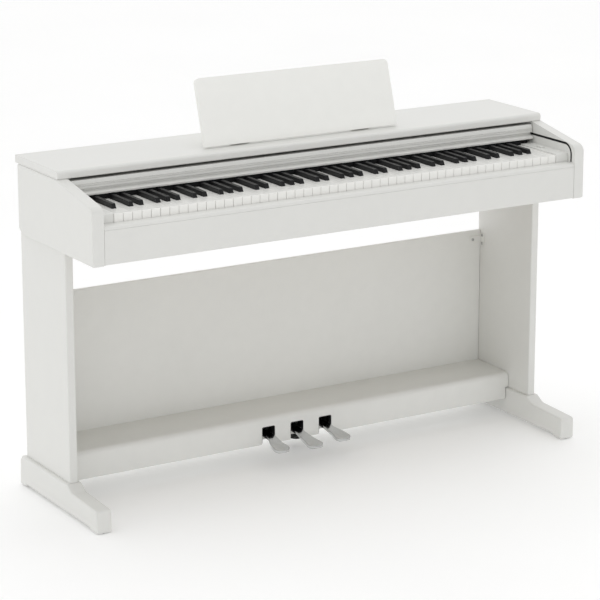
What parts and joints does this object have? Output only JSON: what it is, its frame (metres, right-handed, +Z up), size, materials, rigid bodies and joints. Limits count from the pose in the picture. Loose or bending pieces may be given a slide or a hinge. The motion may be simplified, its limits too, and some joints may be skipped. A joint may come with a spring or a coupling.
{
  "type": "digital piano",
  "caption": "White console digital piano with a sliding key cover, hinged keys, folding music rest and pedals on a two-leg stand.",
  "frame": {"origin": "on the floor, under the centre of the piano's bounding box", "axes": "+X to the right of someone facing the front (the player's right, treble), -Y the front, where the player sits, +Z up"},
  "size_m": [1.357, 0.422, 0.9761],
  "materials": {
    "case": "white laminate, satin",
    "rest_paint": "white, satin",
    "panel_board": "white foil",
    "backing": "bare fibreboard",
    "cover_metal": "white, satin",
    "white_plastic": "satin",
    "natural_key": "gloss",
    "sharp_key": "satin",
    "black_plastic": "matt",
    "felt": "felt",
    "bracket_paint": "satin",
    "soft_rubber": "matt",
    "grey_rubber": "matt",
    "steel": "zinc plated",
    "pedal_chrome": "polished",
    "circuit": "satin",
    "speaker_black": "matt"
  },
  "bodies": {
    "frame": {"top_board": "case", "left_arm": "case", "right_arm": "case", "back_panel": "backing", "bottom_board": "backing", "front_rail": "case", "key_slip": "case", "left_end_block": "white_plastic", "right_end_block": "white_plastic", "cover_guides": "black_plastic", "key_felt": "felt", "key_chassis": "black_plastic", "contact_board": "circuit", "contact_rubbers": "grey_rubber", "left_leg": "case", "right_leg": "case", "left_foot": "case", "right_foot": "case", "foot_pads": "soft_rubber", "rear_board": "panel_board", "pedal_box": "panel_board", "angle_brackets": "bracket_paint", "bracket_screws": "steel", "pedal_frame": "black_plastic", "rest_hinges": "white_plastic", "main_board": "circuit", "power_inlet": "black_plastic", "speakers": "speaker_black", "jack_box": "black_plastic"},
    "cover": {"cover_panel": "cover_metal", "cover_handle": "cover_metal", "cover_guide_pins": "steel"},
    "cover_shaft": {"cover_shaft": "steel"},
    "key_c": {"key_c": "natural_key"},
    "key_c_sharp": {"key_c_sharp": "sharp_key"},
    "key_d": {"key_d": "natural_key"},
    "key_d_sharp": {"key_d_sharp": "sharp_key"},
    "key_e": {"key_e": "natural_key"},
    "key_f": {"key_f": "natural_key"},
    "key_f_sharp": {"key_f_sharp": "sharp_key"},
    "key_g": {"key_g": "natural_key"},
    "key_g_sharp": {"key_g_sharp": "sharp_key"},
    "key_a": {"key_a": "natural_key"},
    "key_a_sharp": {"key_a_sharp": "sharp_key"},
    "key_b": {"key_b": "natural_key"},
    "naturals_bass": {"naturals_bass": "natural_key"},
    "sharps_bass": {"sharps_bass": "sharp_key"},
    "naturals_treble": {"naturals_treble": "natural_key"},
    "sharps_treble": {"sharps_treble": "sharp_key"},
    "power_button": {"power_button": "white_plastic"},
    "function_button_front": {"function_button_front": "black_plastic"},
    "function_button_rear": {"function_button_rear": "black_plastic"},
    "volume_slider": {"volume_slider": "black_plastic"},
    "pedal_left": {"pedal_left": "pedal_chrome"},
    "pedal_center": {"pedal_center": "pedal_chrome"},
    "pedal_right": {"pedal_right": "pedal_chrome"},
    "adjuster_pad": {"adjuster_pad": "soft_rubber"},
    "adjuster_screw": {"adjuster_screw": "steel"},
    "music_rest": {"music_rest": "rest_paint"},
    "rest_supports": {"rest_supports": "steel"}
  },
  "joints": [
    {"name": "cover_slide", "type": "slide", "parent": "frame", "child": "cover", "axis": [0, -1, 0], "range_m": [0, 0.12]},
    {"name": "shaft_spin", "type": "hinge", "parent": "cover", "child": "cover_shaft", "pos_m": [0, 0.104, 0.766], "axis": [1, 0, 0], "range_deg": [-1, 765]},
    {"name": "key_c_press", "type": "hinge", "parent": "frame", "child": "key_c", "pos_m": [0, 0.036, 0.726], "axis": [1, 0, 0], "range_deg": [0, 2.6], "stiffness_Nm_per_rad": 1.5, "springref_deg": -11.46},
    {"name": "key_c_sharp_press", "type": "hinge", "parent": "frame", "child": "key_c_sharp", "pos_m": [0, 0.036, 0.726], "axis": [1, 0, 0], "range_deg": [0, 2.6], "stiffness_Nm_per_rad": 0.9, "springref_deg": -11.46},
    {"name": "key_d_press", "type": "hinge", "parent": "frame", "child": "key_d", "pos_m": [0, 0.036, 0.726], "axis": [1, 0, 0], "range_deg": [0, 2.6], "stiffness_Nm_per_rad": 1.5, "springref_deg": -11.46},
    {"name": "key_d_sharp_press", "type": "hinge", "parent": "frame", "child": "key_d_sharp", "pos_m": [0, 0.036, 0.726], "axis": [1, 0, 0], "range_deg": [0, 2.6], "stiffness_Nm_per_rad": 0.9, "springref_deg": -11.46},
    {"name": "key_e_press", "type": "hinge", "parent": "frame", "child": "key_e", "pos_m": [0, 0.036, 0.726], "axis": [1, 0, 0], "range_deg": [0, 2.6], "stiffness_Nm_per_rad": 1.5, "springref_deg": -11.46},
    {"name": "key_f_press", "type": "hinge", "parent": "frame", "child": "key_f", "pos_m": [0, 0.036, 0.726], "axis": [1, 0, 0], "range_deg": [0, 2.6], "stiffness_Nm_per_rad": 1.5, "springref_deg": -11.46},
    {"name": "key_f_sharp_press", "type": "hinge", "parent": "frame", "child": "key_f_sharp", "pos_m": [0, 0.036, 0.726], "axis": [1, 0, 0], "range_deg": [0, 2.6], "stiffness_Nm_per_rad": 0.9, "springref_deg": -11.46},
    {"name": "key_g_press", "type": "hinge", "parent": "frame", "child": "key_g", "pos_m": [0, 0.036, 0.726], "axis": [1, 0, 0], "range_deg": [0, 2.6], "stiffness_Nm_per_rad": 1.5, "springref_deg": -11.46},
    {"name": "key_g_sharp_press", "type": "hinge", "parent": "frame", "child": "key_g_sharp", "pos_m": [0, 0.036, 0.726], "axis": [1, 0, 0], "range_deg": [0, 2.6], "stiffness_Nm_per_rad": 0.9, "springref_deg": -11.46},
    {"name": "key_a_press", "type": "hinge", "parent": "frame", "child": "key_a", "pos_m": [0, 0.036, 0.726], "axis": [1, 0, 0], "range_deg": [0, 2.6], "stiffness_Nm_per_rad": 1.5, "springref_deg": -11.46},
    {"name": "key_a_sharp_press", "type": "hinge", "parent": "frame", "child": "key_a_sharp", "pos_m": [0, 0.036, 0.726], "axis": [1, 0, 0], "range_deg": [0, 2.6], "stiffness_Nm_per_rad": 0.9, "springref_deg": -11.46},
    {"name": "key_b_press", "type": "hinge", "parent": "frame", "child": "key_b", "pos_m": [0, 0.036, 0.726], "axis": [1, 0, 0], "range_deg": [0, 2.6], "stiffness_Nm_per_rad": 1.5, "springref_deg": -11.46},
    {"name": "naturals_bass_press", "type": "hinge", "parent": "frame", "child": "naturals_bass", "pos_m": [0, 0.036, 0.726], "axis": [1, 0, 0], "range_deg": [0, 2.6], "stiffness_Nm_per_rad": 34.5, "springref_deg": -11.46},
    {"name": "sharps_bass_press", "type": "hinge", "parent": "frame", "child": "sharps_bass", "pos_m": [0, 0.036, 0.726], "axis": [1, 0, 0], "range_deg": [0, 2.6], "stiffness_Nm_per_rad": 14.4, "springref_deg": -11.46},
    {"name": "naturals_treble_press", "type": "hinge", "parent": "frame", "child": "naturals_treble", "pos_m": [0, 0.036, 0.726], "axis": [1, 0, 0], "range_deg": [0, 2.6], "stiffness_Nm_per_rad": 33, "springref_deg": -11.46},
    {"name": "sharps_treble_press", "type": "hinge", "parent": "frame", "child": "sharps_treble", "pos_m": [0, 0.036, 0.726], "axis": [1, 0, 0], "range_deg": [0, 2.6], "stiffness_Nm_per_rad": 13.5, "springref_deg": -11.46},
    {"name": "power_press", "type": "slide", "parent": "frame", "child": "power_button", "axis": [0, 0, -1], "range_m": [0, 0.0025], "stiffness_N_per_m": 400, "springref_m": -0.002},
    {"name": "function_front_press", "type": "slide", "parent": "frame", "child": "function_button_front", "axis": [0, 0, -1], "range_m": [0, 0.0015], "stiffness_N_per_m": 400, "springref_m": -0.002},
    {"name": "function_rear_press", "type": "slide", "parent": "frame", "child": "function_button_rear", "axis": [0, 0, -1], "range_m": [0, 0.0015], "stiffness_N_per_m": 400, "springref_m": -0.002},
    {"name": "volume_move", "type": "slide", "parent": "frame", "child": "volume_slider", "axis": [0, -1, 0], "range_m": [0, 0.032]},
    {"name": "pedal_left_press", "type": "hinge", "parent": "frame", "child": "pedal_left", "pos_m": [-0.082, 0.14, 0.069], "axis": [1, 0, 0], "range_deg": [0, 4.5], "stiffness_Nm_per_rad": 12, "springref_deg": -8.59},
    {"name": "pedal_center_press", "type": "hinge", "parent": "frame", "child": "pedal_center", "pos_m": [0, 0.14, 0.069], "axis": [1, 0, 0], "range_deg": [0, 4.5], "stiffness_Nm_per_rad": 12, "springref_deg": -8.59},
    {"name": "pedal_right_press", "type": "hinge", "parent": "frame", "child": "pedal_right", "pos_m": [0.082, 0.14, 0.069], "axis": [1, 0, 0], "range_deg": [0, 4.5], "stiffness_Nm_per_rad": 12, "springref_deg": -8.59},
    {"name": "screw_turn", "type": "hinge", "parent": "adjuster_pad", "child": "adjuster_screw", "pos_m": [0.041, 0.115, 0.04], "axis": [0, 0, -1], "range_deg": [0, 5280]},
    {"name": "pad_slide", "type": "slide", "parent": "frame", "child": "adjuster_pad", "axis": [0, 0, -1], "range_m": [0, 0.0221]},
    {"name": "music_rest_fold", "type": "hinge", "parent": "frame", "child": "music_rest", "pos_m": [0, 0.0279, 0.823], "axis": [-1, 0, 0], "range_deg": [0, 73]},
    {"name": "support_swing", "type": "hinge", "parent": "music_rest", "child": "rest_supports", "pos_m": [0, 0.04502, 0.89096], "axis": [1, 0, 0], "range_deg": [0, 130]}
  ],
  "couplings": [
    {"joint": "shaft_spin", "follows": "cover_slide", "rad_per_m": 111.11},
    {"joint": "support_swing", "follows": "music_rest_fold", "ratio": 1.7808}
  ]
}
